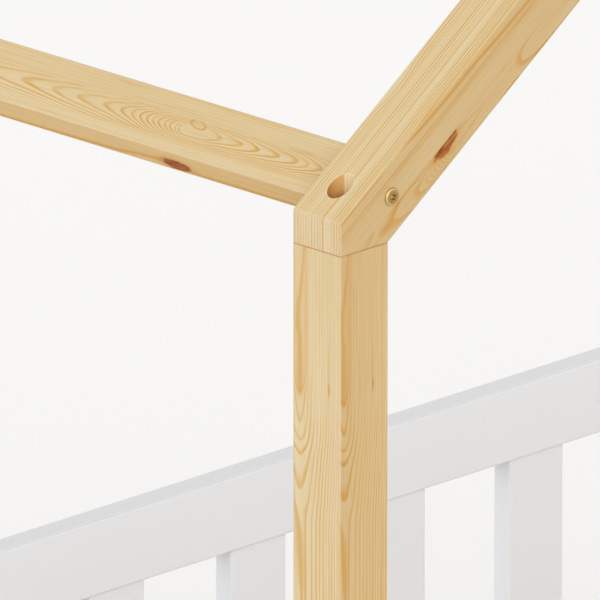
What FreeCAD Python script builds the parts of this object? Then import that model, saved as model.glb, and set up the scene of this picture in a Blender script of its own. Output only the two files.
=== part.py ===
import FreeCAD, Part
import math
import os

# A child's house frame bed for a mattress of 900 x 2000 mm.
# Four pine posts carry two gables of pine rafters over the long sides, tied by three pine cross beams.
# White guard rails with broad slats close the back and both ends, and leave an entry in the front.
# X runs along the bed, Y from its front to its back, and Z up from the floor. The origin is on the floor,
# under the middle of the bed. All sizes are in millimetres.

# Overall sizes, over the posts
BED_LENGTH = 2075.0
BED_WIDTH = 1000.0
POST_TOP = 1100.0
ROOF_PITCH = 35.0  # degrees above level

# Pine frame
TIMBER = 45.0  # side of the square posts and rafters
TIMBER_ROUND = 1.5
SEAM_EASE = 0.4  # broken edge where a rafter stands on its post
BEAM_WIDTH = 46.5  # cross beam, along the slope of the roof
BEAM_THICKNESS = 21.0
BEAM_ROUND = 1.5
EAVE_BEAM_INSET = 47.7  # level, from the end of the bed to the middle of an eave beam
EAVE_BEAM_RISE = 1.5  # middle of an eave beam over the middle line of its rafter
GLIDE_DIAMETER = 28.0
GLIDE_HEIGHT = 3.0

# White rails and boards
BOARD = 21.0  # thickness
BOARD_ROUND = 2.0
SIDE_RAIL_BOTTOM = 140.0
SIDE_RAIL_HEIGHT = 110.0
GUARD_TOP = 509.0
GUARD_RAIL_HEIGHT = 58.0
GUARD_CORNER = 24.0  # rounded free corner of a front guard rail

# Upright slats of the guards
SLAT_WIDTH = 57.0
SLAT_THICKNESS = 17.0
SLAT_ROUND = 2.0
TENON = 12.0  # how far a slat goes into a rail
JOINT_CLEARANCE = 0.15
BACK_SLATS = 13
FRONT_SLATS = 4  # beside each post; the next place holds the end stile
END_SLATS = 6

# Slatted base
LEDGE_WIDTH = 21.0
LEDGE_HEIGHT = 30.0
LEDGE_TOP = 182.0
LEDGE_INSET = 50.0  # from a post to the end of a ledge
LEDGE_SCREWS = 6
BASE_SLATS = 14
BASE_SLAT_WIDTH = 70.0
BASE_SLAT_THICKNESS = 17.0
BASE_SLAT_ROUND = 2.0
BASE_SLAT_GAP = 3.0  # from the end of a base slat to a side rail

# Connector bolts and barrel nuts
BOLT_DIAMETER = 6.0
BOLT_HOLE = 7.0
BOLT_TAIL = 6.0  # bolt beyond the middle of its nut
HEAD_DIAMETER = 12.5
HEAD_FACE = 10.4  # flat face inside the domed rim
HEAD_HEIGHT = 1.6
HEX_ACROSS = 4.4
HEX_DEPTH = 3.0
NUT_DIAMETER = 10.0
NUT_LENGTH = 13.0
NUT_BORE = 6.2
NUT_CLEARANCE = 0.15
NUT_INSET = 35.0  # from the end of the wood to the middle of the nut
SIDE_BOLT_SPREAD = 70.0  # between the two bolts of a side rail
PAIR_SPREAD = 26.0  # between the bolt and the dowel of a guard rail
FOOT_GRIP = 26.0  # wood under the head of a rafter foot bolt
POCKET_DIAMETER = 18.0

# Dowels and screws
DOWEL_DIAMETER = 8.0
DOWEL_LENGTH = 30.0
SCREW_DIAMETER = 4.0
SCREW_HEAD = 8.0
SCREW_HEAD_HEIGHT = 2.2
SCREW_LENGTH = 33.0
SCREW_CLEARANCE = 0.1

OVERCUT = 5.0  # how far a cutter runs past the face that it opens

# Places that follow from the sizes above
HALF_LENGTH = BED_LENGTH / 2
HALF_WIDTH = BED_WIDTH / 2
POST_X = HALF_LENGTH - TIMBER / 2
POST_Y = HALF_WIDTH - TIMBER / 2
INNER_X = HALF_LENGTH - TIMBER
INNER_Y = HALF_WIDTH - TIMBER
PITCH = math.radians(ROOF_PITCH)
RISE = math.tan(PITCH)
PLUMB = TIMBER / math.cos(PITCH) - TIMBER * RISE  # height of a rafter's end face
GUARD_UNDER = GUARD_TOP - GUARD_RAIL_HEIGHT
GUARD_MIDDLE = GUARD_TOP - GUARD_RAIL_HEIGHT / 2
SIDE_RAIL_TOP = SIDE_RAIL_BOTTOM + SIDE_RAIL_HEIGHT
SIDE_RAIL_MIDDLE = SIDE_RAIL_BOTTOM + SIDE_RAIL_HEIGHT / 2
END_RAIL_TOP = SIDE_RAIL_MIDDLE + GUARD_RAIL_HEIGHT / 2
SLAT_PITCH = (2 * INNER_X - BACK_SLATS * SLAT_WIDTH) / (BACK_SLATS + 1) + SLAT_WIDTH
RIDGE_HEIGHT = POST_TOP + TIMBER / (2 * math.cos(PITCH)) + (HALF_LENGTH - TIMBER) * RISE

X = FreeCAD.Vector(1, 0, 0)
Y = FreeCAD.Vector(0, 1, 0)
Z = FreeCAD.Vector(0, 0, 1)
ENDS = {"left": -1, "right": 1}
SIDES = {"front": -1, "back": 1}

pieces = {}  # name of each piece to its shape
cutters = {}  # name of a piece to the shapes to cut from it


def point(x, y, z):
    return FreeCAD.Vector(x, y, z)


def rod(diameter, start, direction, length):
    """A round bar from a point, along a direction."""
    return Part.makeCylinder(diameter / 2, length, start, direction)


def edges_along(shape, direction):
    """The straight edges that run along a direction."""
    found = []
    for edge in shape.Edges:
        straight = edge.Curve.TypeId == "Part::GeomLine"
        if straight and abs(abs(edge.tangentAt(edge.FirstParameter).dot(direction)) - 1) < 1e-6:
            found.append(edge)
    return found


def bar(low, high, along, radius):
    """A straight bar between two corners, with its long edges rounded."""
    size = high - low
    box = Part.makeBox(size.x, size.y, size.z, low)
    return box.makeFillet(radius, edges_along(box, along))


def centred_bar(middle, size, along, radius):
    return bar(middle - size / 2, middle + size / 2, along, radius)


def place(shape, origin, local_x, local_z):
    """A copy of a shape made at the origin, with its X and Z turned to two directions and moved to a point."""
    turn = FreeCAD.Rotation(local_x, local_z.cross(local_x), local_z, "ZXY")
    copy = shape.copy()
    copy.Placement = FreeCAD.Placement(origin, turn)
    return copy


def cut_later(name, *shapes):
    cutters.setdefault(name, []).extend(shapes)


def add_to_group(name, shape):
    """One more identical piece in a group of separate solids."""
    group = pieces.get(name)
    solids = group.Solids if group else []
    pieces[name] = Part.makeCompound([*solids, shape])


# Fasteners


def connector_bolt(length):
    """A bolt whose head seats at the origin, with its shank along +Z."""
    rim = (HEAD_DIAMETER - HEAD_FACE) / 2
    bulge = point(HEAD_DIAMETER / 2 - rim * 0.2, 0, -HEAD_HEIGHT * 0.72)
    start = point(HEAD_DIAMETER / 2, 0, 0)
    end = point(HEAD_FACE / 2, 0, -HEAD_HEIGHT)
    dome = Part.Arc(start, bulge, end).toShape()
    outline = Part.makePolygon(
        [end, point(0, 0, -HEAD_HEIGHT), point(0, 0, length), point(BOLT_DIAMETER / 2, 0, length)]
        + [point(BOLT_DIAMETER / 2, 0, 0), start]
    )
    turned = Part.Face(Part.Wire([dome, *outline.Edges])).revolve(point(0, 0, 0), Z, 360)
    corner = HEX_ACROSS / math.sqrt(3)
    angles = [math.radians(60 * step) for step in range(7)]
    hexagon = [point(corner * math.cos(a), corner * math.sin(a), -HEAD_HEIGHT - OVERCUT) for a in angles]
    socket = Part.Face(Part.makePolygon(hexagon)).extrude(Z * (HEX_DEPTH + OVERCUT))
    return turned.cut(socket)


def barrel_nut():
    """A nut about the origin, with its barrel along Z and its bore along X."""
    barrel = rod(NUT_DIAMETER, point(0, 0, -NUT_LENGTH / 2), Z, NUT_LENGTH)
    return barrel.cut(rod(NUT_BORE, point(-NUT_DIAMETER, 0, 0), X, 2 * NUT_DIAMETER))


def bolt_joint(kind, seat, run, grip, held, taker, nut_side, nut_reach):
    """Bolts the held pieces to the end of the taker.

    The head seats at a point, and the shank goes along the run, through the grip, into the taker.
    The nut's hole opens on the nut side of the taker, at nut_reach from the bolt.
    """
    nut_middle = seat + run * (grip + NUT_INSET)
    length = grip + NUT_INSET + BOLT_TAIL
    add_to_group(kind + "_bolts", place(connector_bolt(length), seat, nut_side, run))
    add_to_group(kind + "_barrel_nuts", place(barrel_nut(), nut_middle, run, nut_side))
    shank_hole = rod(BOLT_HOLE, seat - run * OVERCUT, run, length + OVERCUT + BOLT_TAIL)
    nut_start = nut_middle - nut_side * (NUT_LENGTH / 2)
    nut_run = NUT_LENGTH / 2 + nut_reach + OVERCUT
    nut_hole = rod(NUT_DIAMETER + 2 * NUT_CLEARANCE, nut_start, nut_side, nut_run)
    for name in held:
        cut_later(name, shank_hole)
    cut_later(taker, shank_hole, nut_hole)


def dowel_joint(middle, along, *names):
    """A dowel half in each of two pieces."""
    start = middle - along * (DOWEL_LENGTH / 2)
    add_to_group("rail_dowels", rod(DOWEL_DIAMETER, start, along, DOWEL_LENGTH))
    hole = rod(DOWEL_DIAMETER + 2 * JOINT_CLEARANCE, start, along, DOWEL_LENGTH)
    for name in names:
        cut_later(name, hole)


def countersunk(radius_gain):
    """The shape of a screw whose flat head is at the origin and whose shank runs along +Z."""
    head = SCREW_HEAD / 2 + radius_gain
    shank = SCREW_DIAMETER / 2 + radius_gain
    cone = Part.makeCone(head, shank, SCREW_HEAD_HEIGHT)
    return cone.fuse(rod(2 * shank, point(0, 0, 0), Z, SCREW_LENGTH)).removeSplitter()


def screw_joint(kind, seat, run, *names):
    across = Y if abs(run.z) > 0.5 else Z
    add_to_group(kind, place(countersunk(0), seat, across, run))
    for name in names:
        cut_later(name, place(countersunk(SCREW_CLEARANCE), seat, across, run))


# Pine frame


def make_post(name, end, side):
    low = point(end * POST_X - TIMBER / 2, side * POST_Y - TIMBER / 2, GLIDE_HEIGHT)
    post = bar(low, low + point(TIMBER, TIMBER, POST_TOP - GLIDE_HEIGHT), Z, TIMBER_ROUND)
    top = [edge for edge in post.Edges if edge.BoundBox.ZMin > POST_TOP - 1e-3]
    pieces[name] = post.makeChamfer(SEAM_EASE, top)
    under = point(end * POST_X, side * POST_Y, 0)
    add_to_group("floor_glides", rod(GLIDE_DIAMETER, under, Z, GLIDE_HEIGHT))


def roof_point(end, from_end, above_post, y):
    """A point of a gable: level distance from the end of the bed, and height above the posts."""
    return point(end * (HALF_LENGTH - from_end), y, POST_TOP + above_post)


def make_rafter(name, end, side):
    """A rafter with a plumb end face, a level seat on its post and half a lap joint at the peak."""
    inner_face = side * INNER_Y
    outer_face = side * HALF_WIDTH
    peak = PLUMB + HALF_LENGTH * RISE
    tip_from_end = (BED_LENGTH + TIMBER) / 2 + PLUMB / (2 * RISE)
    tip = (tip_from_end, (tip_from_end - TIMBER) * RISE)
    side_view = [(0, 0), (0, PLUMB), (HALF_LENGTH, peak), tip, (TIMBER, 0), (0, 0)]
    outline = Part.makePolygon([roof_point(end, b, h, outer_face) for b, h in side_view])
    rafter = Part.Face(outline).extrude(Y * (inner_face - outer_face))

    # The two rafters of a gable cross at the peak, where the left one keeps its outer half
    # and the right one its inner half.
    lap_foot = (HALF_LENGTH, (HALF_LENGTH - TIMBER) * RISE)
    lap_head_from_end = (BED_LENGTH - TIMBER) / 2 - PLUMB / (2 * RISE)
    lap_head = (lap_head_from_end, PLUMB + lap_head_from_end * RISE)
    outward = (lap_head[0] - lap_foot[0], lap_head[1] - lap_foot[1])
    above = (lap_head[0] + outward[0], lap_head[1] + outward[1])
    below = (lap_foot[0] - outward[0], lap_foot[1] - outward[1])
    beyond = (BED_LENGTH, above[1])
    low_beyond = (BED_LENGTH, below[1])
    keeps_outer = end < 0
    lap_start = (outer_face + inner_face) / 2 if keeps_outer else outer_face + side * OVERCUT
    lap_end = inner_face - side * OVERCUT if keeps_outer else (outer_face + inner_face) / 2
    lap_view = [above, below, low_beyond, beyond, above]
    lap = Part.Face(Part.makePolygon([roof_point(end, b, h, lap_start) for b, h in lap_view]))
    rafter = rafter.cut(lap.extrude(Y * (lap_end - lap_start)))

    slope = point(-end * math.cos(PITCH), 0, math.sin(PITCH))
    middle = (outer_face + inner_face) / 2
    long_edges = [e for e in edges_along(rafter, slope) if abs(abs(e.CenterOfMass.y - middle) - TIMBER / 2) < 1e-3]
    foot_edges = [e for e in edges_along(rafter, Z) if e.CenterOfMass.z < POST_TOP + PLUMB]
    nose = [e for e in edges_along(rafter, Y) if abs(e.CenterOfMass.z - POST_TOP - PLUMB) < 1e-3]
    rafter = rafter.makeFillet(TIMBER_ROUND, long_edges + foot_edges + nose)
    pieces[name] = rafter.cut(seat_waste(end, side))


def seat_waste(end, side):
    """The wood that comes off to break the edges of a rafter's seat."""
    low = point(end * POST_X - TIMBER / 2, side * POST_Y - TIMBER / 2, POST_TOP)
    kept = Part.makeBox(TIMBER, TIMBER, TIMBER, low)
    foot = [edge for edge in kept.Edges if edge.BoundBox.ZMax < POST_TOP + 1e-3]
    kept = kept.makeChamfer(SEAM_EASE, foot)
    wide = TIMBER + 2 * OVERCUT
    slice_low = low - point(OVERCUT, OVERCUT, OVERCUT)
    return Part.makeBox(wide, wide, SEAM_EASE + OVERCUT, slice_low).cut(kept)


def bolt_rafter_foot(rafter, post, end, side):
    """A bolt from a pocket in the slope of the rafter down into its post."""
    seat = point(end * POST_X, side * POST_Y, POST_TOP + FOOT_GRIP)
    bolt_joint("rafter_foot", seat, -Z, FOOT_GRIP, [rafter], post, X * -end, TIMBER / 2)
    cut_later(rafter, rod(POCKET_DIAMETER, seat, Z, TIMBER * 2))


def make_cross_beam(name, middle, across, up):
    """A beam between the two gables, given the directions of its width and its thickness."""
    section = centred_bar(
        point(0, 0, 0), point(BEAM_WIDTH, BEAM_THICKNESS, 2 * INNER_Y), Z, BEAM_ROUND
    )
    pieces[name] = place(section, middle, across, across.cross(up))


def bolt_cross_beam(kind, name, middle, up, gables):
    """A bolt at each end of a cross beam, from the outer face of its gable."""
    for side_name, side in SIDES.items():
        held = [rafter for rafter in gables if side_name in rafter]
        seat = middle + Y * side * HALF_WIDTH
        bolt_joint(kind, seat, Y * -side, TIMBER, held, name, -up, BEAM_THICKNESS / 2)


def make_pine_frame():
    for end_name, end in ENDS.items():
        for side_name, side in SIDES.items():
            corner = side_name + "_" + end_name
            make_post("post_" + corner, end, side)
            make_rafter("rafter_" + corner, end, side)
            bolt_rafter_foot("rafter_" + corner, "post_" + corner, end, side)
    for end_name, end in ENDS.items():
        name = "eave_beam_" + end_name
        middle_line = TIMBER / (2 * math.cos(PITCH)) + (EAVE_BEAM_INSET - TIMBER) * RISE
        height = middle_line + EAVE_BEAM_RISE / math.cos(PITCH)
        middle = roof_point(end, EAVE_BEAM_INSET, height, 0)
        across = point(-end * math.cos(PITCH), 0, math.sin(PITCH))
        up = point(end * math.sin(PITCH), 0, math.cos(PITCH))
        make_cross_beam(name, middle, across, up)
        rafters = ["rafter_front_" + end_name, "rafter_back_" + end_name]
        bolt_cross_beam("eave", name, middle, up, rafters)
    peak = point(0, 0, RIDGE_HEIGHT)
    make_cross_beam("ridge_beam", peak, X, Z)
    rafters = ["rafter_" + side_name + "_" + end_name for side_name in SIDES for end_name in ENDS]
    bolt_cross_beam("ridge", "ridge_beam", peak, Z, rafters)


# White guards and rails


def make_slat(middle_x, middle_y, bottom, top, across):
    """An upright slat between two rails, with both ends housed in them."""
    thickness = Y if across == X else X
    size = across * SLAT_WIDTH + thickness * SLAT_THICKNESS + Z * (top - bottom + 2 * TENON)
    return centred_bar(point(middle_x, middle_y, (bottom + top) / 2), size, Z, SLAT_ROUND)


def cut_mortises(middle_x, middle_y, bottom, top, across, lower, upper):
    """The two pockets that take the ends of a slat."""
    thickness = Y if across == X else X
    section = across * (SLAT_WIDTH + 2 * JOINT_CLEARANCE) + thickness * (SLAT_THICKNESS + 2 * JOINT_CLEARANCE)
    depth = TENON + OVERCUT
    for name, centre_z in ((lower, bottom - TENON + depth / 2), (upper, top + TENON - depth / 2)):
        middle = point(middle_x, middle_y, centre_z)
        cut_later(name, centred_bar(middle, section + Z * depth, Z, SLAT_ROUND + JOINT_CLEARANCE))


def add_slat(name, middle_x, middle_y, bottom, top, across, lower, upper):
    add_to_group(name, make_slat(middle_x, middle_y, bottom, top, across))
    cut_mortises(middle_x, middle_y, bottom, top, across, lower, upper)


def slat_x(place_number):
    """The middle of a slat in the long guards, counted from the left post."""
    return -INNER_X + place_number * SLAT_PITCH - SLAT_WIDTH / 2


def long_rail(y, bottom, height, start, stop):
    low = point(start, y - BOARD / 2, bottom)
    return bar(low, point(stop, y + BOARD / 2, bottom + height), X, BOARD_ROUND)


def bolt_long_rail(kind, name, post, end, y, height):
    """A bolt from the end face of a post into a rail along the bed, with the nut on the bed's side."""
    seat = point(end * HALF_LENGTH, y, height)
    inward = Y if y < 0 else -Y
    bolt_joint(kind, seat, X * -end, TIMBER, [post], name, inward, BOARD / 2)


def make_side_rail(side_name, side):
    name = "side_rail_" + side_name
    y = side * POST_Y
    pieces[name] = long_rail(y, SIDE_RAIL_BOTTOM, SIDE_RAIL_HEIGHT, -INNER_X, INNER_X)
    for end_name, end in ENDS.items():
        for offset in (-SIDE_BOLT_SPREAD / 2, SIDE_BOLT_SPREAD / 2):
            post = "post_" + side_name + "_" + end_name
            bolt_long_rail("side_rail", name, post, end, y, SIDE_RAIL_MIDDLE + offset)


def fix_guard_end(name, post, end, y):
    """A guard rail's joint with a post: the bolt above, the dowel below."""
    bolt_long_rail("guard_rail", name, post, end, y, GUARD_MIDDLE + PAIR_SPREAD / 2)
    dowel_joint(point(end * INNER_X, y, GUARD_MIDDLE - PAIR_SPREAD / 2), X, name, post)


def make_back_guard():
    name = "guard_rail_back"
    pieces[name] = long_rail(POST_Y, GUARD_UNDER, GUARD_RAIL_HEIGHT, -INNER_X, INNER_X)
    for end_name, end in ENDS.items():
        fix_guard_end(name, "post_back_" + end_name, end, POST_Y)
    for number in range(1, BACK_SLATS + 1):
        slat = "guard_slat_back_" + str(number).zfill(2)
        add_slat(slat, slat_x(number), POST_Y, SIDE_RAIL_TOP, GUARD_UNDER, X, "side_rail_back", name)


def front_guard_rail(end, stop):
    """A guard rail from a post to its free end, whose upper corner is round."""
    corner = GUARD_CORNER
    start = end * INNER_X
    arc_middle = point(
        stop + end * corner * (1 - math.sqrt(0.5)), 0, GUARD_TOP - corner * (1 - math.sqrt(0.5))
    )
    arc_start = point(stop, 0, GUARD_TOP - corner)
    arc_end = point(stop + end * corner, 0, GUARD_TOP)
    outline = Part.makePolygon(
        [arc_end, point(start, 0, GUARD_TOP), point(start, 0, GUARD_UNDER)]
        + [point(stop, 0, GUARD_UNDER), arc_start]
    )
    round_corner = Part.Arc(arc_start, arc_middle, arc_end).toShape()
    board = Part.Face(Part.Wire([*outline.Edges, round_corner])).extrude(Y * BOARD)
    board.translate(Y * (-POST_Y - BOARD / 2))
    at_post = [e for e in board.Edges if abs(e.CenterOfMass.x - start) < 1e-3]
    across = edges_along(board, Y)
    rounded = [e for e in board.Edges if not any(e.isSame(other) for other in at_post + across)]
    return board.makeFillet(BOARD_ROUND, rounded)


def make_stile(middle_x):
    """The upright at the free end of a front guard: a full board with slat tenons."""
    height = GUARD_UNDER - SIDE_RAIL_TOP
    middle = point(middle_x, -POST_Y, SIDE_RAIL_TOP + height / 2)
    board = centred_bar(middle, point(SLAT_WIDTH, BOARD, height), Z, BOARD_ROUND)
    return board.fuse(make_slat(middle_x, -POST_Y, SIDE_RAIL_TOP, GUARD_UNDER, X)).removeSplitter()


def make_front_guards():
    for end_name, end in ENDS.items():
        name = "guard_rail_front_" + end_name
        stile_x = -end * slat_x(FRONT_SLATS + 1)
        pieces[name] = front_guard_rail(end, stile_x - end * SLAT_WIDTH / 2)
        fix_guard_end(name, "post_front_" + end_name, end, -POST_Y)
        levels = (SIDE_RAIL_TOP, GUARD_UNDER)
        rails = ("side_rail_front", name)
        for number in range(1, FRONT_SLATS + 1):
            add_slat("guard_slats_front_" + end_name, -end * slat_x(number), -POST_Y, *levels, X, *rails)
        pieces["guard_stile_front_" + end_name] = make_stile(stile_x)
        cut_mortises(stile_x, -POST_Y, *levels, X, *rails)


def make_end_panel(panel, end_name, end):
    """The headboard or the footboard: two rails between the posts, with slats."""
    x = end * POST_X
    for rail, middle_z in (("bottom", SIDE_RAIL_MIDDLE), ("top", GUARD_MIDDLE)):
        name = panel + "_" + rail + "_rail"
        size = point(BOARD, 2 * INNER_Y, GUARD_RAIL_HEIGHT)
        pieces[name] = centred_bar(point(x, 0, middle_z), size, Y, BOARD_ROUND)
        for side_name, side in SIDES.items():
            post = "post_" + side_name + "_" + end_name
            seat = point(x, side * HALF_WIDTH, middle_z - PAIR_SPREAD / 2)
            bolt_joint("end_rail", seat, Y * -side, TIMBER, [post], name, X * -end, BOARD / 2)
            dowel_joint(point(x, side * INNER_Y, middle_z + PAIR_SPREAD / 2), Y, name, post)
    gap = (2 * INNER_Y - END_SLATS * SLAT_WIDTH) / (END_SLATS + 1)
    rails = (panel + "_bottom_rail", panel + "_top_rail")
    for number in range(END_SLATS):
        y = -INNER_Y + gap + SLAT_WIDTH / 2 + number * (gap + SLAT_WIDTH)
        add_slat(panel + "_slats", x, y, END_RAIL_TOP, GUARD_UNDER, Y, *rails)


# Slatted base


def base_slat_x(number):
    ledge_length = 2 * (INNER_X - LEDGE_INSET)
    step = (ledge_length - BASE_SLAT_WIDTH) / (BASE_SLATS - 1)
    return -ledge_length / 2 + BASE_SLAT_WIDTH / 2 + number * step


def make_base():
    rail_face = POST_Y - BOARD / 2
    for side_name, side in SIDES.items():
        ledge = "slat_ledge_" + side_name
        middle = point(0, side * (rail_face - LEDGE_WIDTH / 2), LEDGE_TOP - LEDGE_HEIGHT / 2)
        size = point(2 * (INNER_X - LEDGE_INSET), LEDGE_WIDTH, LEDGE_HEIGHT)
        pieces[ledge] = centred_bar(middle, size, X, BASE_SLAT_ROUND)
        for number in range(LEDGE_SCREWS):
            after_slat = round(number * (BASE_SLATS - 2) / (LEDGE_SCREWS - 1))
            x = (base_slat_x(after_slat) + base_slat_x(after_slat + 1)) / 2
            seat = point(x, side * (rail_face - LEDGE_WIDTH), middle.z)
            screw_joint("ledge_screws", seat, Y * side, ledge, "side_rail_" + side_name)
    top = LEDGE_TOP + BASE_SLAT_THICKNESS
    for number in range(BASE_SLATS):
        middle = point(base_slat_x(number), 0, top - BASE_SLAT_THICKNESS / 2)
        size = point(BASE_SLAT_WIDTH, 2 * (rail_face - BASE_SLAT_GAP), BASE_SLAT_THICKNESS)
        add_to_group("base_slats", centred_bar(middle, size, Y, BASE_SLAT_ROUND))
        for side_name, side in SIDES.items():
            seat = point(middle.x, side * (rail_face - LEDGE_WIDTH / 2), top)
            screw_joint("base_slat_screws", seat, -Z, "base_slats", "slat_ledge_" + side_name)


def export_pieces():
    os.makedirs("parts", exist_ok=True)
    for name, shape in sorted(pieces.items()):
        if name in cutters:
            shape = shape.cut(cutters[name])
        solids = [solid for solid in shape.Solids if solid.Volume > 1]
        whole = solids[0] if len(solids) == 1 else Part.makeCompound(solids)
        whole.exportStep("parts/" + name + ".step")


make_pine_frame()
for each_side, sign in SIDES.items():
    make_side_rail(each_side, sign)
make_back_guard()
make_front_guards()
make_end_panel("headboard", "left", ENDS["left"])
make_end_panel("footboard", "right", ENDS["right"])
make_base()
export_pieces()
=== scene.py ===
import math
import random

import bpy
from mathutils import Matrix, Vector


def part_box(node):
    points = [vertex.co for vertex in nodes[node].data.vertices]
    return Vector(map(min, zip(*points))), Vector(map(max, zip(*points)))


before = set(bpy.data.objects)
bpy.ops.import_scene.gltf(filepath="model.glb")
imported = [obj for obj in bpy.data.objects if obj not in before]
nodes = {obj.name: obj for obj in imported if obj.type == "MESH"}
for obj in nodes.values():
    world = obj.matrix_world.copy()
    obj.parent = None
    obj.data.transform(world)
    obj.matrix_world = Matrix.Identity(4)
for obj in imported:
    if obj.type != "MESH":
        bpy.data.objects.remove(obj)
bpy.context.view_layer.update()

X, Y, Z = Vector((1, 0, 0)), Vector((0, 1, 0)), Vector((0, 0, 1))
# Towards the left and up, where the strongest light comes from
LIGHTED_SIDE = Vector((-0.8, 0.2, 0.57)).normalized()

# Colours, as sRGB
BACKGROUND = (248, 247, 245)
PINE_EARLY = (217, 201, 164)
PINE_LATE = (202, 155, 74)
PINE_WARM = (205, 181, 134)
KNOT_HEART = (118, 50, 12)
KNOT_RIM = (170, 96, 36)
# Painted shade: pine on faces turned away from the left and up is multiplied deeper and warmer
PINE_PAINTED_SHADE_TINT = (254, 246, 234)  # multiplies pine on the faces that look away from LIGHTED_SIDE
# Painted shade on whole faces of the corner post and rafter
PINE_FACE_PAINTED_SHADE = (150, 113, 74)
# Painted light on the narrow edges of the corner beam
PINE_EDGE_PAINTED_LIGHT = (232, 196, 132)
PINE_PALE = (226, 220, 200)
PINE_GREY = (206, 206, 202)
# Painted shade on the corner beam's lower arris
ARRIS_PAINTED_SHADE = (196, 190, 180)
# In the rafter's bore: the wall's colour with painted shade, painted light on the walls that catch
# the light, and painted shade deeper down
POCKET_WALL_AND_PAINTED_SHADE = (220, 176, 112)
POCKET_PAINTED_LIGHT = (252, 242, 200)
POCKET_PAINTED_SHADE = (190, 102, 40)
WHITE_PAINT = (232, 235, 240)
# Painted shade on level tops and on rounded edges that look up, painted light on rounded edges that
# look down
PAINT_TOP_PAINTED_SHADE = (254, 251, 248)  # multiplies the paint on level tops
PAINT_UPPER_EDGE_PAINTED_SHADE = (236, 236, 234)  # multiplies it on rounded edges that look up
PAINT_LOWER_EDGE_PAINTED_LIGHT = (248, 252, 255)
ZINC_YELLOW = (222, 203, 146)
ZINC_YELLOW_STAIN = (170, 140, 84)
# Bolt heads: painted highlight on the rim, dark painted reflection on the face, painted reflection
# of the wood in the socket
BOLT_RIM_PAINTED_HIGHLIGHT = (208, 184, 130)
BOLT_FACE_PAINTED_REFLECTION = (164, 134, 82)
BOLT_SHADE = (146, 116, 66)
BOLT_SOCKET_PAINTED_REFLECTION = (223, 190, 136)
ZINC_STEEL = (190, 188, 182)
ZINC_STEEL_STAIN = (160, 158, 150)
BEECH = (206, 166, 120)
GLIDE = (205, 200, 190)
FLOOR_CLOTH = (0.8, 0.797, 0.787, 1)  # linear

# Sizes and measures
MM = 1000  # millimetres in a metre
ROOF_PITCH = math.radians(35)
YEAR_WIDTH = 0.0028  # between rings, on the pieces without a figure of their own
POCKET_RADIUS = 0.0093  # just past the wall of the bore in the rafter's foot
FAR = 9  # a distance from a knot, in its own radii, where nothing of it shows
FLOOR_SIZE = 900

# Camera, matched to the photograph
LENS = 1200
CAMERA_TURN = -45.10  # degrees round the post, from looking along +Y
CAMERA_HEIGHT = 18.20  # degrees above level
CAMERA_DISTANCE = 13.202
AIM_RIGHT = -0.02688  # from the top of the corner post's outer edge to the picture's middle
AIM_UP = -0.02815
VIEW_END = 400

# Light
FLOOR_LIFT = 0.2  # added where the floor is seen
SKY_LEVEL = 0.72
SKY_GLOWS = {  # towards each glow: its direction and strength
    "left": (Vector((-1, 0, 0.15)), 1.81),
    "front": (Vector((0, -1, 0.15)), 1.5),
    "above": (Vector((0, 0, 1)), -0.14),
}


def linear(colour):
    """An sRGB colour of 0 to 255 as linear light, with alpha."""
    parts = [c / 255 for c in colour]
    return [p / 12.92 if p <= 0.04045 else ((p + 0.055) / 1.055) ** 2.4 for p in parts] + [1]


class Field:
    """A number or vector that varies over a surface, as the output of a shader node."""

    def __init__(self, tree, socket):
        self.tree = tree
        self.socket = socket

    def math(self, operation, *inputs, clamp=False):
        node = self.tree.nodes.new("ShaderNodeMath")
        node.operation = operation
        node.use_clamp = clamp
        for index, value in enumerate([self, *inputs]):
            plug(self.tree, value, node.inputs[index])
        return Field(self.tree, node.outputs[0])

    def __add__(self, other):
        return self.math("ADD", other)

    def __sub__(self, other):
        return self.math("SUBTRACT", other)

    def __rsub__(self, other):
        return (self * -1) + other

    def __mul__(self, other):
        return self.math("MULTIPLY", other)

    def __truediv__(self, other):
        return self.math("DIVIDE", other)

    __radd__ = __add__
    __rmul__ = __mul__

    def power(self, exponent):
        return self.math("POWER", exponent)

    def abs(self):
        return self.math("ABSOLUTE")

    def fraction(self):
        return self.math("FRACT")

    def whole(self):
        return self.math("FLOOR")

    def clamped(self):
        return self.math("ADD", 0, clamp=True)

    def rise(self, low, high):
        """0 below low, 1 above high, and smooth between."""
        node = self.tree.nodes.new("ShaderNodeMapRange")
        node.interpolation_type = "SMOOTHSTEP"
        plug(self.tree, self, node.inputs["Value"])
        node.inputs["From Min"].default_value = low
        node.inputs["From Max"].default_value = high
        return Field(self.tree, node.outputs[0])

    def fall(self, low, high):
        return 1 - self.rise(low, high)

    def dot(self, direction):
        node = self.tree.nodes.new("ShaderNodeVectorMath")
        node.operation = "DOT_PRODUCT"
        plug(self.tree, self, node.inputs[0])
        node.inputs[1].default_value = direction
        return Field(self.tree, node.outputs["Value"])

    def shifted(self, offset):
        node = self.tree.nodes.new("ShaderNodeVectorMath")
        node.operation = "SUBTRACT"
        plug(self.tree, self, node.inputs[0])
        node.inputs[1].default_value = offset
        return Field(self.tree, node.outputs["Vector"])


def plug(tree, value, socket):
    """Joins a field to a socket, or sets the socket to a plain value."""
    if isinstance(value, Field):
        tree.links.new(value.socket, socket)
    else:
        socket.default_value = value


def combine(x, y, z):
    node = x.tree.nodes.new("ShaderNodeCombineXYZ")
    for part, socket in zip((x, y, z), node.inputs):
        plug(x.tree, part, socket)
    return Field(x.tree, node.outputs[0])


def noise(vector, scale, detail=2.0, roughness=0.5):
    """Smooth noise about 0.5."""
    node = vector.tree.nodes.new("ShaderNodeTexNoise")
    plug(vector.tree, vector, node.inputs["Vector"])
    node.inputs["Scale"].default_value = scale
    node.inputs["Detail"].default_value = detail
    node.inputs["Roughness"].default_value = roughness
    return Field(vector.tree, node.outputs["Fac"])


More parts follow.
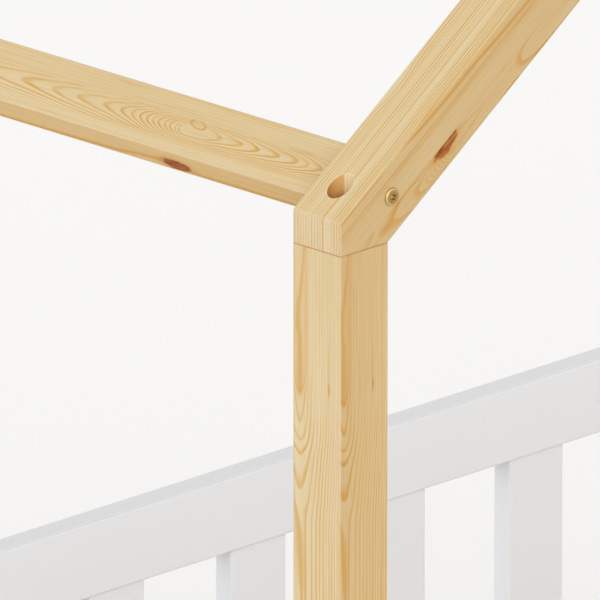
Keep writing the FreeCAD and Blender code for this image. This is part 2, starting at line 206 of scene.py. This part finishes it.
def noise_along(value, scale, seed):
    """Smooth noise about 0.5 that varies with one number."""
    node = value.tree.nodes.new("ShaderNodeTexNoise")
    node.noise_dimensions = "1D"
    plug(value.tree, value * scale + seed, node.inputs["W"])
    node.inputs["Scale"].default_value = 1
    node.inputs["Detail"].default_value = 1
    return Field(value.tree, node.outputs["Fac"])


def random_for(value, seed):
    """A random number from 0 to 1 for each whole number."""
    node = value.tree.nodes.new("ShaderNodeTexWhiteNoise")
    node.noise_dimensions = "1D"
    plug(value.tree, value + seed, node.inputs["W"])
    return Field(value.tree, node.outputs["Value"])


def mix_colour(amount, first, second):
    """A colour between two, which are sRGB colours or fields."""
    tree = amount.tree
    node = tree.nodes.new("ShaderNodeMix")
    node.data_type = "RGBA"
    plug(tree, amount, node.inputs["Factor"])
    for name, value in (("A", first), ("B", second)):
        socket = next(s for s in node.inputs if s.name == name and s.type == "RGBA")
        plug(tree, value if isinstance(value, Field) else linear(value), socket)
    output = next(s for s in node.outputs if s.type == "RGBA")
    return Field(tree, output)


def curve(value, *points):
    """A smooth function through points of (input, output), level beyond the first and last."""
    node = value.tree.nodes.new("ShaderNodeFloatCurve")
    start, span = points[0][0], points[-1][0] - points[0][0]
    low = min(point[1] for point in points)
    rise = max(point[1] for point in points) - low
    spots = [((x - start) / span, (y - low) / rise) for x, y in points]
    table = node.mapping.curves[0].points
    table[0].location, table[-1].location = spots[0], spots[-1]
    for spot in spots[1:-1]:
        table.new(*spot)
    for spot in table:
        spot.handle_type = "AUTO_CLAMPED"
    node.mapping.extend = "HORIZONTAL"
    node.mapping.update()
    plug(value.tree, (value - start) / span, node.inputs["Value"])
    return Field(value.tree, node.outputs[0]) * rise + low


def blend(amount, first, second):
    """A number between two, which are numbers or fields."""
    return (second - first) * amount + first


def tinted(amount, colour, tint):
    """A colour multiplied by a tint, where amount is 1."""
    mixed = mix_colour(amount, colour, tint)
    mixed.socket.node.blend_type = "MULTIPLY"
    return mixed


def new_material(name):
    """A material, its main shader and the surface's place in the row frame."""
    material = bpy.data.materials.new(name)
    material.use_nodes = True
    tree = material.node_tree
    shader = tree.nodes["Principled BSDF"]
    place = Field(tree, tree.nodes.new("ShaderNodeTexCoord").outputs["Object"])
    return material, shader, place


def bump(shader, height, distance):
    tree = height.tree
    node = tree.nodes.new("ShaderNodeBump")
    node.inputs["Distance"].default_value = distance
    plug(tree, height, node.inputs["Height"])
    tree.links.new(node.outputs["Normal"], shader.inputs["Normal"])


# Pine


class Board:
    """How one piece of pine was sawn from its tree.

    Places in the piece are (along the grain, across, out), in metres from the origin.
    The pith is a line along the grain at (across, out).
    Each knot is (along, across, out, radius, length over width), at the surface where it shows.
    A piece whose figure the photograph shows has its own figure function, and no pith.
    """

    def __init__(self, origin, grain, across, pith=(0, 0), seed=0.0, knots=(), figure=None):
        self.origin = origin
        self.grain = grain.normalized()
        self.across = across.normalized()
        self.out = self.grain.cross(self.across)
        self.pith = pith
        self.seed = seed
        self.knots = knots
        self.figure = figure or ring_figure


class Wood:
    """The fields that one pine material is made of.

    rings counts the years from the pith, with a whole number at the dark edge of each.
    lines is how strongly each place shows them. marks are (amount, colour) pairs that go on top.
    """

    def __init__(self, place, normal, board):
        self.board = board
        centred = place.shifted(board.origin)
        axes = board.grain, board.across, board.out
        self.along, self.across, self.out = [centred.dot(axis) for axis in axes]
        across_part, out_part = normal.dot(board.across).abs(), normal.dot(board.out).abs()
        self.facing_across = across_part.rise(0.70, 0.72)
        self.facing_out = (out_part - across_part).rise(0, 0.02)
        self.slow = self.grain_noise(0.9, 9, 1.6) - 0.5
        self.quick = self.grain_noise(2.5, 30, 3.0) - 0.5
        self.fibre = self.grain_noise(2.5, 120, 6.0, 3, 0.65) - 0.5
        self.height = place.dot(Z)
        self.length = place.dot(X)
        self.marks = []
        self.rings, self.lines = board.figure(self)

    def grain_noise(self, lengthwise, crosswise, scale, detail=2.0, roughness=0.5):
        """Noise about 0.5, drawn out along the grain."""
        along = (self.along + self.board.seed * 7.31) * lengthwise
        stretched = combine(along, self.across * crosswise, self.out * crosswise)
        return noise(stretched, scale, detail, roughness)

    def mark(self, amount, colour):
        self.marks.append((amount, colour))


def band(value, middle, width):
    """1 in the middle of a soft band, and 0 away from it."""
    part = (value - middle) / width
    return (part * part * -1).math("EXPONENT")


def oval(first, second, middle, half_sizes):
    """Distance from a middle, where 1 is on the oval."""
    first = (first - middle[0]) / half_sizes[0]
    second = (second - middle[1]) / half_sizes[1]
    return (first * first + second * second).power(0.5)


def draw_knot(wood, distance):
    """A knot where the distance is under 1, with darkened wood round it."""
    ragged = distance + (wood.grain_noise(40, 130, 3.0) - 0.55) * 0.8
    wood.mark(ragged.fall(0.9, 1.9) * 0.5, PINE_LATE)
    wood.mark(ragged.fall(0.85, 1.12), KNOT_RIM)
    flecks = wood.grain_noise(130, 480, 1.0).rise(0.42, 0.58)
    wood.mark(ragged.fall(0.6, 1.0) * flecks * 0.85, KNOT_HEART)


def ring_figure(wood):
    """Rings round the pith, bent by the tree's slow changes and by its knots."""
    board = wood.board
    side, depth = wood.across - board.pith[0], wood.out - board.pith[1]
    radius = (side * side + depth * depth).power(0.5) + wood.slow * 0.006 + wood.quick * 0.0012
    for start, across, out, size, stretch in board.knots:
        towards = Vector((across - board.pith[0], out - board.pith[1])).normalized()
        sideways = (wood.across - across) * -towards.y + (wood.out - out) * towards.x
        outward = (wood.across - board.pith[0]) * towards.x + (wood.out - board.pith[1]) * towards.y
        distance = oval(wood.along, sideways, (start, 0), (size * stretch, size))
        distance = distance + outward.fall(0, 0.004) * FAR
        draw_knot(wood, distance)
        radius = radius + (distance * distance * -0.16).math("EXPONENT") * (size * 0.9)
    return radius / YEAR_WIDTH + (noise_along(radius, 90, board.seed) - 0.5) * 3.0, 1.0


# The figures of the three boards at the corner are drawn one by one. Their curves run along or
# across the board in mm, but along the post in metres, and give a place, a width or the years.


def corner_post_figure(wood):
    """Arches along one edge of each face, and fine straight lines beside them."""
    spot = blend(wood.facing_across, wood.across, wood.out - 0.004)
    spot = spot + wood.quick * 0.0006
    stages = (0.85, 17.8), (0.9, 17.8), (0.925, 15.8), (0.95, 12.9), (0.96, 10.4)
    depth = curve(wood.along, *stages, (0.972, 8.1), (0.993, 6.3), (1.012, 3.2), (1.1, 3))
    side = (spot - 0.0155) * MM
    depth = depth + wood.quick * 1.5
    radius = (side * side + depth * depth).power(0.5)
    years = (0, -1.5), (6.3, 0), (8.1, 1), (10.4, 2), (12.9, 3), (15.8, 4), (18.7, 5), (21.4, 6)
    rings = curve(radius, *years, (23.8, 7), (26.1, 8), (28.5, 9), (50, 19))

    # Dark streaks between the arches
    path = (0.99, 15.8), (1.03, 15.7), (1.047, 17), (1.064, 15.2), (1.085, 12.6), (1.098, 11.6)
    widths = (0.985, 0.2), (1.0, 3.1), (1.02, 2.6), (1.04, 1.9), (1.07, 1.4), (1.098, 0.8)
    streak = band(spot * MM, curve(wood.along, *path), curve(wood.along, *widths))
    wood.mark(streak * wood.along.rise(0.988, 0.998) * (0.7 + wood.slow), PINE_LATE)
    wood.mark(band(spot * MM, 19, 0.9) * band(wood.along, 1.043, 0.012) * 0.6, PINE_LATE)
    path = (0.83, 14), (0.865, 14.4), (0.89, 16), (0.905, 18), (0.918, 20.5)
    widths = (0.83, 0.5), (0.85, 1.2), (0.868, 2.8), (0.888, 3.6), (0.902, 2.4), (0.918, 0.8)
    streak = band(spot * MM, curve(wood.along, *path), curve(wood.along, *widths))
    shown = wood.along.rise(0.82, 0.85) * wood.along.fall(0.91, 0.93)
    wood.mark(streak * shown * 0.75, PINE_LATE)
    wood.mark(band(spot * MM, 14, 6) * wood.along.rise(0.98, 1.0) * 0.28, PINE_LATE)

    # A short dash with its tail, painted shade on each face (deeper on the front and back faces), a
    # paler strip near the front edge of the side faces, and a painted shadow line in the seam under
    # the rafter
    dash = oval(wood.along, spot, (1.002, -0.0117), (0.0045, 0.0008))
    wood.mark(dash.fall(0.4, 1.6) * 0.5, KNOT_RIM)
    tail = oval(wood.along, spot, (1.012, -0.0113), (0.022, 0.0007))
    wood.mark(tail.fall(0.3, 1.6) * 0.5, PINE_LATE)
    wood.mark(wood.facing_out * 0.03, PINE_FACE_PAINTED_SHADE)
    wood.mark(band(spot * MM, -21, 3) * wood.facing_out * 0.2, PINE_PALE)
    wood.mark((band(spot * MM, 18, 7) * 0.08 + 0.05) * wood.facing_across, PINE_FACE_PAINTED_SHADE)
    wood.mark(band(spot, -0.0205, 0.0009) * 0.3, PINE_LATE)
    wood.mark(band(wood.height, post_high.z, 0.0005) * 0.5, KNOT_RIM)

    open_end = wood.along.rise(0.905, 0.925) + spot.fall(0.0105, 0.0125)
    calm = 0.85 - wood.along.rise(0.965, 0.995) * spot.fall(0.006, 0.0105) * 0.6
    return rings, radius.rise(5.4, 6) * open_end.clamped() * calm


def corner_rafter_figure(wood):
    """Two glued strips on the gable side, the lower with a knot. Straight lines elsewhere."""
    along, across = wood.along * MM, wood.across * MM
    steps = (-10, 0.1), (5.6, 0.3), (6.8, 1), (8.8, 2), (10.9, 3), (12.2, 3.3), (20, 3.45)
    upper = curve(across + along * 0.0098, *steps)
    side = across - curve(along, (60, -16.5), (85, -18.3), (108, -17.8), (125, -16.5))
    bends = (55, 0.009), (72, 0.012), (87, 0.045), (108, 0.05), (125, 0.02), (150, 0.009)
    foot = (0, -0.2), (25, 0.1), (35, 0.6), (53, 1), (68, 1.5), (78, 2), (87, 3), (92, 4)
    knot = (96.5, 5), (100.5, 6), (104.5, 7), (108, 8), (113, 9), (120, 8.3), (124, 6), (130, 3)
    beyond = (140, 1.6), (153, 1), (165, 0.5), (184, 0.45), (189, 0.6), (197, 1), (215, 1.4)
    crest = curve(along, *foot, *knot, *beyond, (240, 1.5))
    lower = crest - side * side * curve(along, *bends) + wood.quick * 0.3
    strip = across.rise(-9.3, -9.0)
    gable = blend(strip, lower, upper)

    # Marks on the gable side: knot, soft dark bands, glue line, and the knot's tails
    knot_at = oval(along, across, (112, -10), (13, 6))
    draw_knot(wood, knot_at + (1 - wood.facing_out) * FAR + strip * FAR)
    path = (80, 17.6), (100, 16.3), (135, 14.7), (160, 14.6), (190, 12.8), (230, 11.6)
    soft = band(across, curve(along, *path), 1.3) * along.rise(75, 100)
    wood.mark(soft * wood.facing_out * strip, PINE_LATE)
    wood.mark(band(across, 17.3, 0.8) * along.fall(50, 68) * wood.facing_out * 0.85, PINE_LATE)
    wood.mark(band(across, -9.2, 0.25) * wood.facing_out * 0.25, PINE_LATE)
    for start, end in ((-11, -12.4), (-19, -18.4)):
        tail = curve(along, (106, start), (135, end), (156, -15.2))
        shown = along.rise(108, 118) * along.fall(148, 156) * wood.facing_out
        wood.mark(band(across, tail, 0.6) * shown * 0.6, PINE_LATE)
    tip = oval(along, across, (38, -16), (8, 3.2)) + wood.quick + strip
    wood.mark(tip.fall(0.4, 1.3) * wood.facing_out * 0.4, PINE_LATE)
    shown = along.rise(38, 55) * along.fall(72, 95) * wood.facing_out * (1 - strip)
    wood.mark(band(across, -10.2, 0.9) * shown * 0.6, PINE_LATE)

    # The pocket with painted light and shade in it, then a painted shadow line in the seam over the
    # post, painted shade on the gable side and a greyer plumb end
    depth = 19.2 - across
    middle = post_low.x + timber / 2
    pocket = oval(wood.length, wood.out, (middle, 0), (POCKET_RADIUS, POCKET_RADIUS)).fall(1, 1.03)
    # Inside the bore: darker orange on the walls that face front and back, partly the drilled wood
    # and partly painted shade; painted light elsewhere; more painted shade towards the rafter's end
    # and deeper down
    wood.mark(pocket * wood.facing_out * 0.85, POCKET_WALL_AND_PAINTED_SHADE)
    wood.mark(pocket * (1 - wood.facing_out) * 0.25, POCKET_PAINTED_LIGHT)
    streaked = wood.grain_noise(90, 260, 2.0).rise(0.4, 0.6) * 0.4 + 0.6
    shade = wood.length.fall(middle - 0.006, middle + 0.005) * 0.55
    shade = shade + depth.rise(8, 12) * 0.4 * streaked
    wood.mark(pocket * wood.facing_out * shade, POCKET_PAINTED_SHADE)
    wood.mark(band(wood.height, post_high.z, 0.0005) * 0.5, KNOT_RIM)
    wood.mark(wood.facing_out * 0.1, PINE_FACE_PAINTED_SHADE)
    wood.mark(wood.length.fall(post_low.x + 0.001, post_low.x + 0.002) * 0.12, PINE_GREY)

    # Straight lines on the slope
    spot = wood.out * MM + wood.quick * 0.5
    spot = spot - band(along, 127, 22) * spot.fall(-13, -5) * 4
    spot = spot + (along - 60) * spot.rise(4, 14) * 0.016
    edges = -22.5, -19.6, -16.8, -14.2, -11.6, -9.2, -6.7, -4.1, -1.6, 1.2, 3.6, 6.3
    years = [(edge, number) for number, edge in enumerate(edges)]
    years += [(12.2, 11.5), (13.3, 12), (15.8, 13), (18.2, 14), (20.5, 15), (23, 16)]
    straight = curve(spot, *years)
    rings = blend(wood.facing_out, straight, gable)
    bold = band(spot, -4.3, 0.6) * 0.7 + band(spot, 6.2, 1.0) * 0.7 + band(spot, -16.8, 0.6) * 0.4
    past_knot = along.rise(114, 118) * along.fall(160, 180)
    on_gable = blend(strip, (1.1 - past_knot) * (0.45 + along.rise(24, 42) * 0.55), 1.9)
    lines = blend(wood.facing_out, bold + 0.9 + spot.rise(12, 14) * 0.6, on_gable)
    return rings, lines


def corner_beam_figure(wood):
    """The top is glued from two strips, one with rings nested round an eye. The edge has a knot."""
    along, across, out = wood.along * MM, wood.across * MM, wood.out * MM
    front = (-60, 16), (11, 13.2), (34.2, 11.3), (51, 10.1), (70.3, 9), (86, 7.5), (105.7, 6)
    round_eye = (120, 3.4), (133, 1), (145.7, 6), (150.3, 7.5), (160.3, 10.1), (171.8, 12.2)
    back = (184.2, 14.2), (202.6, 16), (219.5, 17), (244.9, 18), (298.8, 20), (420, 22), (700, 24)
    depth = curve(along, *front, *round_eye, *back, (930, 19))
    side = across - 2 + wood.quick * 0.7
    radius = (side * side + depth * depth).power(0.5)
    inner = (0, 0.1), (4.8, 0.5), (6, 1), (7.5, 2), (9, 3), (10.1, 4), (11.3, 5), (12.2, 6)
    outer = (13.2, 7), (14.2, 8), (15.1, 9), (16, 10), (17, 11), (18, 12), (19, 13), (20, 14)
    nested = curve(radius, *inner, *outer, (30, 24))
    strip = across.rise(-6.6, -6.2)
    eye = (oval(along + (across + 3) * 0.9, across, (132.5, -3.4), (6.6, 3.2)) - 1).abs()
    wood.mark(eye.fall(0.08, 0.27) * strip * wood.facing_out * 0.85, PINE_LATE)
    top = blend(strip, across * 0.4 + wood.quick * 1.2, nested)

    # The narrow edge, with painted light on it
    low = curve(along, (0, -7.6), (120, -7.4), (152, -2.5), (200, -6.4), (300, -8), (420, -8.4))
    wood.mark(wood.facing_across * 0.3, PINE_EDGE_PAINTED_LIGHT)
    wood.mark(band(out, low, 1.6) * wood.facing_across * 0.85, PINE_LATE)
    knot_at = oval(along, out, (139.5, -3.2), (13.5, 5))
    draw_knot(wood, knot_at + (1 - wood.facing_across) * FAR)
    edge = out * 0.62 + band(along, 139, 30) * out * 0.2 + wood.quick
    rings = blend(wood.facing_out, edge, top)
    shown = blend(strip, 0.2, (across.fall(11, 17) * 0.7 + 0.2) * (1 + across.rise(3, 6) * 0.8))
    lines = blend(wood.facing_out, 0.7, shown)
    wood.mark(band(across, -22, 2.5) * band(along, 90, 60) * wood.facing_out * 0.4, PINE_LATE)
    # Painted shade on the arris between the top face and the lower narrow edge, toning down its
    # highlight
    wood.mark(across.rise(20.5, 22) * out.rise(8.5, 9.5) * 0.15, ARRIS_PAINTED_SHADE)
    return rings, lines


def pine(name, board, tone=0.0):
    """Sawn pine. Each year is pale at first and ends in a thin dark line."""
    material, shader, place = new_material(name)
    normal = Field(place.tree, place.tree.nodes.new("ShaderNodeNewGeometry").outputs["Normal"])
    wood = Wood(place, normal, board)
    year = wood.rings.fraction()
    strength = random_for(wood.rings.whole(), board.seed) * 0.4 + 0.6
    fading = wood.grain_noise(1.5, 25, 4.0, 1).rise(0.3, 0.62) * 0.45 + 0.55
    late = year.rise(0.5, 0.88) * year.fall(0.93, 1.0) * strength * fading * wood.lines
    streak = wood.grain_noise(1.0, 110, 2.4, 3, 0.7)
    broad = wood.grain_noise(0.7, 12, 2.2, 1)

    colour = mix_colour((broad.rise(0.3, 0.75) * 0.6 + tone).clamped(), PINE_EARLY, PINE_WARM)
    colour = mix_colour((late + year * 0.08 + wood.fibre * 0.8 + 0.1).clamped(), colour, PINE_LATE)
    colour = mix_colour(streak.rise(0.52, 0.8) * 0.4, colour, PINE_LATE)
    canal = wood.grain_noise(22, 900, 1.0, 0).rise(0.74, 0.8)
    colour = mix_colour(canal * 0.22, colour, KNOT_RIM)
    for amount, mark in wood.marks:
        colour = mix_colour(amount.clamped(), colour, mark)
    # Painted shade: deeper, warmer pine on faces that look away from the left and up
    colour = tinted(normal.dot(LIGHTED_SIDE).fall(0.4, 0.75), colour, PINE_PAINTED_SHADE_TINT)
    plug(colour.tree, colour, shader.inputs["Base Color"])
    plug(colour.tree, late * -0.1 + wood.fibre * 0.12 + 0.55, shader.inputs["Roughness"])
    shader.inputs["Specular IOR Level"].default_value = 0.2
    bump(shader, wood.fibre * 0.6 + late * 0.4, 0.00006)
    return material


# Other finishes


def white_paint():
    """Satin paint, with painted shade on level tops and on rounded edges that look up, and painted
    light on rounded edges below.
    """
    material, shader, place = new_material("white_paint")
    film = noise(place, 900, 2)
    broad = noise(place, 7, 1)
    colour = mix_colour(broad, WHITE_PAINT, tuple(c - 3 for c in WHITE_PAINT))
    normal = Field(place.tree, place.tree.nodes.new("ShaderNodeNewGeometry").outputs["Normal"])
    facing_x, facing_y, facing_z = [normal.dot(axis).abs() for axis in (X, Y, Z)]
    flatness = facing_x.math("MAXIMUM", facing_y).math("MAXIMUM", facing_z)
    rounded, upward = flatness.fall(0.85, 0.99), normal.dot(Z)
    colour = tinted(rounded * upward.rise(0.1, 0.4), colour, PAINT_UPPER_EDGE_PAINTED_SHADE)
    colour = mix_colour(rounded * upward.fall(-0.4, -0.1), colour, PAINT_LOWER_EDGE_PAINTED_LIGHT)
    colour = tinted(upward.rise(0.85, 0.99), colour, PAINT_TOP_PAINTED_SHADE)
    plug(colour.tree, colour, shader.inputs["Base Color"])
    plug(film.tree, film * 0.12 + 0.5, shader.inputs["Roughness"])
    shader.inputs["Specular IOR Level"].default_value = 0.2
    bump(shader, film, 0.00002)
    return material


def metal(name, colour, roughness, stain):
    """Metal with soft stains."""
    material, shader, place = new_material(name)
    cloud = noise(place, 260, 3)
    stained = mix_colour(cloud.rise(0.35, 0.8) * 0.5, colour, stain)
    plug(cloud.tree, stained, shader.inputs["Base Color"])
    plug(cloud.tree, cloud * 0.2 + roughness - 0.1, shader.inputs["Roughness"])
    shader.inputs["Metallic"].default_value = 1
    bump(shader, noise(place, 1800, 2), 0.00003)
    return material


def bolt_metal(name):
    """For bolts along Y, at one X or its mirror: painted highlight on the rim, dark painted
    reflection on the face, painted reflection of the wood in the socket.
    """
    material = metal(name + "_metal", BOLT_FACE_PAINTED_REFLECTION, 0.34, BOLT_SHADE)
    low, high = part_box(name)
    head = (high.z - low.z) / 2
    tree = material.node_tree
    shader = tree.nodes["Principled BSDF"]
    place = Field(tree, tree.nodes.new("ShaderNodeTexCoord").outputs["Object"])
    middle = (high.x - head, (low.z + high.z) / 2)
    radius = oval(place.dot(X).abs(), place.dot(Z), middle, (head, head))
    colour = Field(tree, shader.inputs["Base Color"].links[0].from_socket)
    # Painted highlight on the rim and on a ring of the face, painted reflection of the wood in the
    # socket
    colour = mix_colour(radius.rise(0.72, 0.8), colour, BOLT_RIM_PAINTED_HIGHLIGHT)
    colour = mix_colour(band(radius, 0.62, 0.05) * 0.4, colour, BOLT_RIM_PAINTED_HIGHLIGHT)
    colour = mix_colour(radius.fall(0.36, 0.4), colour, BOLT_SOCKET_PAINTED_REFLECTION)
    plug(tree, colour, shader.inputs["Base Color"])
    return material


def plain(name, colour, roughness, grain_scale):
    """A matt finish with fine specks."""
    material, shader, place = new_material(name)
    speck = noise(place, grain_scale, 3)
    mottled = mix_colour(speck, colour, tuple(c - 16 for c in colour))
    plug(speck.tree, mottled, shader.inputs["Base Color"])
    plug(speck.tree, speck * 0.1 + roughness, shader.inputs["Roughness"])
    bump(shader, speck, 0.00005)
    return material


def finish_node(name, material):
    piece = nodes[name]
    piece.data.materials.clear()
    piece.data.materials.append(material)


# Pieces of pine

dice = random.Random(11)
post_low, post_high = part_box("post_front_left")
timber = post_high.x - post_low.x
slope = {  # up each side of the roof
    "left": Vector((math.cos(ROOF_PITCH), 0, math.sin(ROOF_PITCH))),
    "right": Vector((-math.cos(ROOF_PITCH), 0, math.sin(ROOF_PITCH))),
}


def random_knots(length, half, count):
    """Small knots at random places on the faces of a square piece."""
    found = []
    for _ in range(count):
        face = dice.choice((-1, 1))
        spot = (dice.uniform(-0.6, 0.6) * half, face * half)
        if dice.random() < 0.5:
            spot = spot[::-1]
        start = dice.uniform(0.08, 0.92) * length
        radius, stretch = dice.uniform(0.0025, 0.0045), dice.uniform(1.2, 2.2)
        found.append((start, *spot, radius, stretch))
    return found


def post_board(name):
    low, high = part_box(name)
    origin = Vector(((low.x + high.x) / 2, (low.y + high.y) / 2, low.z))
    if name == "post_front_left":
        return Board(origin, Z, Y, seed=3.7, figure=corner_post_figure)
    pith = (dice.uniform(-0.05, 0.05), dice.uniform(0.03, 0.09))
    knots = random_knots(high.z - low.z, timber / 2, 4)
    return Board(origin, Z, X, pith, dice.uniform(0, 50), knots)


def rafter_board(name):
    low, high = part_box(name)
    end = name.split("_")[-1]
    origin = Vector((low.x if end == "left" else high.x, (low.y + high.y) / 2, low.z))
    if name == "rafter_front_left":
        upward = Vector((-slope[end].z, 0, slope[end].x))
        return Board(origin, slope[end], upward, seed=8.3, figure=corner_rafter_figure)
    pith = (dice.uniform(-0.05, 0.05), dice.uniform(0.05, 0.11))
    return Board(origin, slope[end], Y, pith, dice.uniform(0, 50), random_knots(1.2, timber / 2, 4))


def beam_board(name):
    low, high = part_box(name)
    origin = Vector(((low.x + high.x) / 2, low.y, (low.z + high.z) / 2))
    across = {"left": -slope["left"], "right": slope["right"]}.get(name.split("_")[-1], X)
    if name == "eave_beam_left":
        return Board(origin, Y, across, seed=14.2, figure=corner_beam_figure)
    pith = (dice.uniform(-0.01, 0.01), dice.uniform(-0.04, -0.02))
    return Board(origin, Y, across, pith, dice.uniform(0, 50))


for name in sorted(nodes):
    if name.startswith("post_"):
        finish_node(name, pine(name, post_board(name)))
    elif name.startswith("rafter_") and "foot" not in name:
        finish_node(name, pine(name, rafter_board(name), 0.2))
    elif name == "ridge_beam" or name.startswith("eave_beam_"):
        finish_node(name, pine(name, beam_board(name)))

base_board = Board(Vector((0, 0, 0.19)), Y, X, (0.01, -0.05), seed=21)
finish_node("base_slats", pine("base_slats", base_board, 0.1))
for name in ("slat_ledge_front", "slat_ledge_back"):
    low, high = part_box(name)
    ledge_board = Board((low + high) / 2, X, Y, (0.02, 0.06), seed=dice.uniform(0, 50))
    finish_node(name, pine(name, ledge_board, 0.1))

# The other nodes

paint = white_paint()
brass = metal("connector_metal", ZINC_YELLOW, 0.34, ZINC_YELLOW_STAIN)
steel = metal("screw_metal", ZINC_STEEL, 0.36, ZINC_STEEL_STAIN)
beech = plain("beech", BEECH, 0.6, 400)
glide = plain("glide", GLIDE, 0.55, 700)
for name in sorted(nodes):
    if name in ("eave_bolts", "ridge_bolts"):
        finish_node(name, bolt_metal(name))
    elif "bolts" in name or "barrel_nuts" in name:
        finish_node(name, brass)
    elif "screws" in name:
        finish_node(name, steel)
    elif name == "rail_dowels":
        finish_node(name, beech)
    elif name == "floor_glides":
        finish_node(name, glide)
    elif any(word in name for word in ("guard", "side_rail", "headboard", "footboard")):
        finish_node(name, paint)


# Floor, light and camera


def make_floor():
    """A floor in the background's colour, which keeps the bed's shadow."""
    bpy.ops.mesh.primitive_plane_add(size=FLOOR_SIZE, location=(0, 0, 0))
    floor = bpy.context.object
    floor.name = "floor"
    material = bpy.data.materials.new("floor")
    material.use_nodes = True
    tree = material.node_tree
    tree.nodes.clear()
    output = tree.nodes.new("ShaderNodeOutputMaterial")
    cloth = tree.nodes.new("ShaderNodeBsdfDiffuse")
    cloth.inputs["Color"].default_value = FLOOR_CLOTH
    lift = tree.nodes.new("ShaderNodeEmission")
    lift.inputs["Color"].default_value = linear(BACKGROUND)
    ray = tree.nodes.new("ShaderNodeLightPath")
    seen = Field(tree, ray.outputs["Is Camera Ray"])
    seen = (seen + Field(tree, ray.outputs["Is Glossy Ray"])).clamped()
    plug(tree, seen * FLOOR_LIFT, lift.inputs["Strength"])
    add = tree.nodes.new("ShaderNodeAddShader")
    tree.links.new(cloth.outputs[0], add.inputs[0])
    tree.links.new(lift.outputs[0], add.inputs[1])
    tree.links.new(add.outputs[0], output.inputs["Surface"])
    floor.data.materials.append(material)


def make_world():
    """Light from all round, stronger from the left and front. The camera sees a plain colour."""
    world = bpy.data.worlds.new("studio")
    bpy.context.scene.world = world
    world.use_nodes = True
    tree = world.node_tree
    tree.nodes.clear()
    output = tree.nodes.new("ShaderNodeOutputWorld")
    light = tree.nodes.new("ShaderNodeBackground")
    backdrop = tree.nodes.new("ShaderNodeBackground")
    backdrop.inputs["Color"].default_value = linear(BACKGROUND)
    direction = Field(tree, tree.nodes.new("ShaderNodeTexCoord").outputs["Generated"])
    level = SKY_LEVEL
    for towards, strength in SKY_GLOWS.values():
        facing = direction.dot(towards.normalized()).math("MAXIMUM", 0)
        level = facing * facing * strength + level
    plug(tree, level, light.inputs["Strength"])
    ray = tree.nodes.new("ShaderNodeLightPath")
    mix = tree.nodes.new("ShaderNodeMixShader")
    tree.links.new(ray.outputs["Is Camera Ray"], mix.inputs[0])
    tree.links.new(light.outputs[0], mix.inputs[1])
    tree.links.new(backdrop.outputs[0], mix.inputs[2])
    tree.links.new(mix.outputs[0], output.inputs["Surface"])


def make_camera():
    """The photograph's view of the front left corner."""
    turn, height = math.radians(CAMERA_TURN), math.radians(CAMERA_HEIGHT)
    level = Vector((-math.sin(turn), math.cos(turn), 0))
    right = Vector((level.y, -level.x, 0))
    forward = level * math.cos(height) - Z * math.sin(height)
    up = level * math.sin(height) + Z * math.cos(height)
    corner = Vector((post_low.x, post_low.y, post_high.z))
    camera = bpy.data.objects.new("camera", bpy.data.cameras.new("camera"))
    bpy.context.collection.objects.link(camera)
    camera.data.lens = LENS
    camera.data.sensor_width = 36
    camera.data.clip_end = VIEW_END
    camera.location = corner - forward * CAMERA_DISTANCE + right * AIM_RIGHT + up * AIM_UP
    camera.rotation_mode = "QUATERNION"
    camera.rotation_quaternion = forward.to_track_quat("-Z", "Y")
    bpy.context.scene.camera = camera


make_floor()
make_world()
make_camera()
bpy.context.scene.view_settings.view_transform = "Standard"
